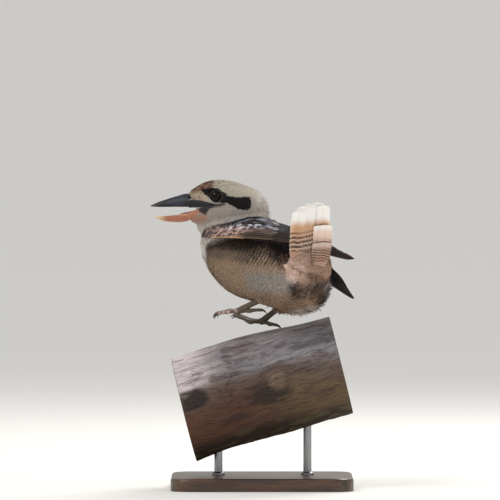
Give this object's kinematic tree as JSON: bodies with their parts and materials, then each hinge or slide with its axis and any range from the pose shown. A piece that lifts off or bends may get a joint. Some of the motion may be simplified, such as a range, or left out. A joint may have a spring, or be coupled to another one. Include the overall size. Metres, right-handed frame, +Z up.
{
  "type": "laughing kookaburra model",
  "caption": "Still life-size model of a young laughing kookaburra stepping along a cut branch, head in profile, bill ajar, tail cocked, on a flat display base with rods.",
  "frame": {"origin": "centre of the display base's underside", "axes": "+Z up, -X the way the bill points, -Y towards the viewer of the picture"},
  "size_m": [0.2245, 0.2205, 0.3388],
  "materials": {
    "pale_plumage": "soft matt feather, cream to buff with brown streaks",
    "brown_plumage": "matt feather, dark brown with pale mottling",
    "barred_plumage": "matt feather, pinkish buff barred with dark brown, white at the tips",
    "dark_horn": "satin blue-black horn",
    "pale_horn": "satin orange-pink horn",
    "leg_skin": "matt olive-grey scaled skin",
    "eye": "wet gloss, dark brown",
    "branch_wood": "weathered bare wood, grey to purplish",
    "stand_wood": "satin dark stain",
    "stand_steel": "brushed"
  },
  "bodies": {
    "root": {"bill_lower": "pale_horn", "bill_upper": "dark_horn", "claw_hind_left": "dark_horn", "claw_hind_right": "dark_horn", "claw_inner_left": "dark_horn", "claw_inner_right": "dark_horn", "claw_middle_left": "dark_horn", "claw_middle_right": "dark_horn", "claw_outer_left": "dark_horn", "claw_outer_right": "dark_horn", "eye_left": "eye", "eye_right": "eye", "foot_left": "leg_skin", "foot_right": "leg_skin", "head": "pale_plumage", "neck": "pale_plumage", "perch": "branch_wood", "shank_left": "leg_skin", "shank_right": "leg_skin", "stand_base": "stand_wood", "stand_rod_high": "stand_steel", "stand_rod_low": "stand_steel", "tail": "barred_plumage", "thigh_left": "pale_plumage", "thigh_right": "pale_plumage", "tongue": "pale_horn", "torso": "pale_plumage", "wing_left": "brown_plumage", "wing_right": "brown_plumage"}
  },
  "joints": []
}
